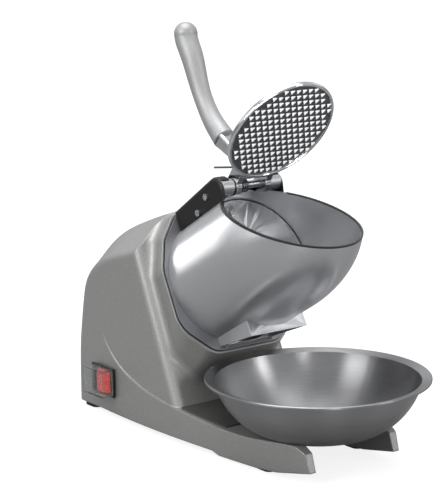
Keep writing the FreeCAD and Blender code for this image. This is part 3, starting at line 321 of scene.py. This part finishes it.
dressed = 0
for material, names in FINISH.items():
    for name in names:
        mesh = nodes[name].data
        mesh.materials.clear()
        mesh.materials.append(material)
        shade(nodes[name])
        dressed += 1
print("engineering parts with a finish:", dressed, "of", len(nodes))

# %% [markdown]
# ## The toothed press plate
# The plate pushes ice against the blades. It is cast with a rolled rim, and its face carries staggered rows
# of three-cornered studs with polished ends. The ends are painted nearly white as a painted highlight, over a
# field painted dark grey as painted shade between the studs. It is built as a mesh: a profile turned round
# the plate's axis, and one small stud repeated in a loop. It is made in the lever's own frame, with the hinge
# at the origin, one axis along the plate and one out of its face.

# %% The lever's frame
hinge = next(joint for joint in frame["joints"] if joint["name"] == "lever_hinge")
LEVER_OPEN = math.radians(125.4)
lever_frame = Matrix.Translation(hinge["pos_m"]) @ Matrix.Rotation(LEVER_OPEN, 4, "X")
print("hinge, mm:", [round(v / MM, 1) for v in hinge["pos_m"]])


def make(name, mesh_builder, materials, body, *stands_for):
    """A piece from a bmesh: its materials, the body that it rides on and the parts that it stands for."""
    mesh = bpy.data.meshes.new(name)
    mesh_builder.to_mesh(mesh)
    mesh_builder.free()
    for material in materials:
        mesh.materials.append(material)
    piece = bpy.data.objects.new(name, mesh)
    scene.collection.objects.link(piece)
    shade(piece)
    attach(piece, body)
    if stands_for:
        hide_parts(*stands_for)
    return piece


def turned(builder, profile, steps, material_of):
    """Turns a closed (radius, height) profile round Z; material_of(i) is the slot of the i-th band."""
    rings = []
    for i in range(steps):
        angle = 2 * math.pi * i / steps
        rings.append([builder.verts.new((r * math.cos(angle), r * math.sin(angle), z)) for r, z in profile])
    for i, ring in enumerate(rings):
        following = rings[(i + 1) % steps]
        for j in range(len(profile) - 1):
            face = builder.faces.new((ring[j], following[j], following[j + 1], ring[j + 1]))
            face.material_index = material_of(j)


# %% Plate with a rolled rim
# slots of the press plate: chrome rim, the field in painted shade, the stud ends in a painted white highlight
CHROME_SLOT, FIELD_SHADE_SLOT, STUD_HIGHLIGHT_SLOT = 0, 1, 2
TURN_STEPS = 128
HUB_R = 0.4 * MM         # the turned profile starts here, and a cap closes the hole
PLATE_CENTRE = 80.0 * MM
PLATE_R = 60.0 * MM
PLATE_BACK = 6.0 * MM
PLATE_FACE = 12.0 * MM
FIELD_R = 56.6 * MM
FIELD_DEPTH = 2.3 * MM
RIM_ROUND = 1.6 * MM
BACK_ROUND = 1.5 * RIM_ROUND

plate = bmesh.new()
field_z = PLATE_FACE - FIELD_DEPTH
profile = [(HUB_R, PLATE_BACK), (PLATE_R - 3 * RIM_ROUND, PLATE_BACK)]
for k in range(7):
    angle = math.radians(-90 + 15 * k)
    profile.append((PLATE_R - BACK_ROUND + BACK_ROUND * math.cos(angle),
                    PLATE_BACK + BACK_ROUND + BACK_ROUND * math.sin(angle)))
for k in range(13):
    angle = math.radians(15 * k)
    profile.append((PLATE_R - RIM_ROUND + RIM_ROUND * math.cos(angle),
                    PLATE_FACE - RIM_ROUND + RIM_ROUND * math.sin(angle)))
profile += [(FIELD_R + 0.2 * MM, field_z + 0.3 * MM), (FIELD_R - 0.3 * MM, field_z), (HUB_R, field_z)]
bands = len(profile)
turned(plate, profile, TURN_STEPS, lambda j: FIELD_SHADE_SLOT if j >= bands - 3 else CHROME_SLOT)
for level_z in (PLATE_BACK, field_z):
    ring = sorted((v for v in plate.verts if abs(v.co.z - level_z) < 1e-7 and v.co.xy.length < 0.5 * MM),
                  key=lambda v: math.atan2(v.co.y, v.co.x))
    cap = plate.faces.new(ring)
    cap.material_index = FIELD_SHADE_SLOT if level_z == field_z else CHROME_SLOT
print("plate bands:", bands)

# %% Studs in staggered rows
ROW_PITCH = 7.2 * MM
STUD_PITCH = 7.5 * MM
STUD_HALF = 3.2 * MM
STUD_TALL = 5.2 * MM
STUD_TOP = PLATE_FACE - 0.1 * MM
CORNER_CUT = 0.14
# (height, share of the full outline) of a stud's foot, shoulder and end
STUD_LEVELS = [(field_z - 0.1 * MM, 1.12), (STUD_TOP - 0.3 * MM, 1.0), (STUD_TOP, 0.93)]


def stud(builder, x, y):
    """A short post with a three-cornered polished end in a painted white highlight, its point towards the
    hinge and its corners eased.
    """
    tips = [Vector((-STUD_HALF, STUD_TALL / 2, 0)), Vector((STUD_HALF, STUD_TALL / 2, 0)),
            Vector((0, -STUD_TALL / 2, 0))]
    outline = []
    for i, tip in enumerate(tips):
        outline.append(tip.lerp(tips[i - 1], CORNER_CUT))
        outline.append(tip.lerp(tips[(i + 1) % 3], CORNER_CUT))
    rings = [[builder.verts.new((x + p.x * share, y + p.y * share, z)) for p in outline]
             for z, share in STUD_LEVELS]
    # a stud's sides below the shoulder take the field's painted shade; its shoulder and end take the painted
    # highlight
    for lower, upper, slot in zip(rings, rings[1:], (FIELD_SHADE_SLOT, STUD_HIGHLIGHT_SLOT)):
        for i in range(6):
            face = builder.faces.new((lower[i], lower[i - 5], upper[i - 5], upper[i]))
            face.material_index = slot
    builder.faces.new(rings[-1]).material_index = STUD_HIGHLIGHT_SLOT
    builder.faces.new(list(reversed(rings[0]))).material_index = FIELD_SHADE_SLOT


studs = 0
rows = int(FIELD_R / ROW_PITCH)
columns = int(FIELD_R / STUD_PITCH) + 1
for row in range(-rows, rows + 1):
    y = row * ROW_PITCH
    shift = STUD_PITCH / 2 if row % 2 else 0.0
    for column in range(-columns, columns + 1):
        x = column * STUD_PITCH + shift
        if math.hypot(x, y) < FIELD_R - 0.8 * STUD_HALF:
            stud(plate, x, y)
            studs += 1
bmesh.ops.recalc_face_normals(plate, faces=plate.faces)
plate.transform(lever_frame @ Matrix.Translation((0, PLATE_CENTRE, 0)))
toothed_plate = make("toothed_plate", plate, [chrome, field_shade_grey, stud_highlight_white], "lever", "press_plate")
print("studs:", studs)

# %% [markdown]
# ## Floor and light
# The machine stands on white paper. The paper gives off light to the camera alone, so it looks white while
# the metal mirrors it as grey. Polished metal is only as good as what it mirrors, so the room has bands: dim
# at the horizon, brighter a third of the way up, darker again above that and brightest overhead. Panels on
# the left, in front, on the right and overhead add the long highlights. Two more lamps are kept to a few
# pieces: a card behind for the barrel, chute and hinge bushes, and a lamp in front for the press plate.

# %% Floor
floor_mesh = bpy.data.meshes.new("floor")
HALF_FLOOR = 30.0
PAPER_LIFT = 0.84        # light that the paper gives off to the camera
corners = [(-1, -1), (1, -1), (1, 1), (-1, 1)]
floor_mesh.from_pydata([(x * HALF_FLOOR, y * HALF_FLOOR, 0) for x, y in corners], [], [(0, 1, 2, 3)])
floor = bpy.data.objects.new("floor", floor_mesh)
scene.collection.objects.link(floor)
paper, paper_tree, paper_shader, paper_place = start("white_paper", "#8C8C8C", 0.0, 0.8,
                                                     Specular_IOR_Level=0.1)
skin(paper_tree, paper_shader, paper_place, 30.0, 0.01, (0.75, 0.85))
seen = add(paper_tree, "ShaderNodeLightPath")
lift = add(paper_tree, "ShaderNodeMath", {"operation": "MULTIPLY", 1: PAPER_LIFT},
           {0: seen.outputs["Is Camera Ray"]})
paper_tree.links.new(lift.outputs["Value"], paper_shader.inputs["Emission Strength"])
paper_shader.inputs["Emission Color"].default_value = linear("#FFFFFF")
floor_mesh.materials.append(paper)

# %% Room with bands of light
# (height on a unit sphere, brightness) of the room's walls and ceiling
ROOM_BANDS = [(0.0, 0.26), (0.12, 0.34), (0.30, 1.0), (0.46, 0.9), (0.64, 0.6), (0.76, 0.7), (0.88, 2.0),
              (1.0, 3.0)]
world = bpy.data.worlds.new("room")
world.use_nodes = True
sky = world.node_tree
direction = add(sky, "ShaderNodeTexCoord")
parts_of_direction = add(sky, "ShaderNodeSeparateXYZ", {}, {"Vector": direction.outputs["Generated"]})
bands_of_light = add(sky, "ShaderNodeFloatCurve", {}, {"Value": parts_of_direction.outputs["Z"]})
curve = bands_of_light.mapping.curves[0]
BRIGHTEST = max(brightness for _, brightness in ROOM_BANDS)
curve.points[0].location = (ROOM_BANDS[0][0], ROOM_BANDS[0][1] / BRIGHTEST)
curve.points[1].location = (ROOM_BANDS[-1][0], ROOM_BANDS[-1][1] / BRIGHTEST)
for rise, brightness in ROOM_BANDS[1:-1]:
    curve.points.new(rise, brightness / BRIGHTEST)
bands_of_light.mapping.update()
level = add(sky, "ShaderNodeMath", {"operation": "MULTIPLY", 1: BRIGHTEST},
            {0: bands_of_light.outputs["Value"]})
backdrop = sky.nodes["Background"]
backdrop.inputs["Color"].default_value = linear("#F6F7F9")
sky.links.new(level.outputs["Value"], backdrop.inputs["Strength"])
scene.world = world
scene.view_settings.view_transform = "Standard"


# %% Light panels
def panel(name, place, aim, width, height, power):
    light = bpy.data.lights.new(name, "AREA")
    light.shape = "RECTANGLE"
    light.size = width
    light.size_y = height
    light.energy = power
    lamp = bpy.data.objects.new(name, light)
    scene.collection.objects.link(lamp)
    lamp.location = place
    lamp.rotation_euler = (Vector(aim) - Vector(place)).to_track_quat("-Z", "Y").to_euler()
    return lamp


def light_only(lamp, pieces):
    """Keeps a lamp's light to the named pieces."""
    lit = bpy.data.collections.new("lit_by_" + lamp.name)
    for piece in pieces:
        lit.objects.link(piece)
    lamp.light_linking.receiver_collection = lit


CENTRE = (0, 0, 0.2)
BARREL_AND_CHUTE = [nodes["hopper_barrel"], nodes["chute"], nodes["hinge_bushes"]]
# name, place, point it faces, width, height, watts and the only pieces that it lights (None for all)
LAMPS = [
    ("left_panel", (-1.9, -0.1, 1.2), CENTRE, 1.0, 1.2, 20, None),
    ("front_strip", (-0.72, -1.75, 0.25), (0, -0.1, 0.06), 0.16, 0.7, 5, None),
    ("right_panel", (1.1, -1.9, 0.9), CENTRE, 0.35, 1.3, 9, None),
    ("rear_card", (-0.36, 1.14, 0.26), CENTRE, 0.3, 0.6, 3.6, BARREL_AND_CHUTE),
    ("plate_lamp", (-0.5, -1.5, 0.1), (0, -0.05, 0.32), 1.0, 0.6, 26, [toothed_plate]),
    ("top_panel", (-0.2, 0.2, 2.0), CENTRE, 1.6, 0.8, 12, None),
]
for name, place, aim, width, height, watts, pieces in LAMPS:
    lamp = panel(name, place, aim, width, height, watts)
    if pieces:
        light_only(lamp, pieces)
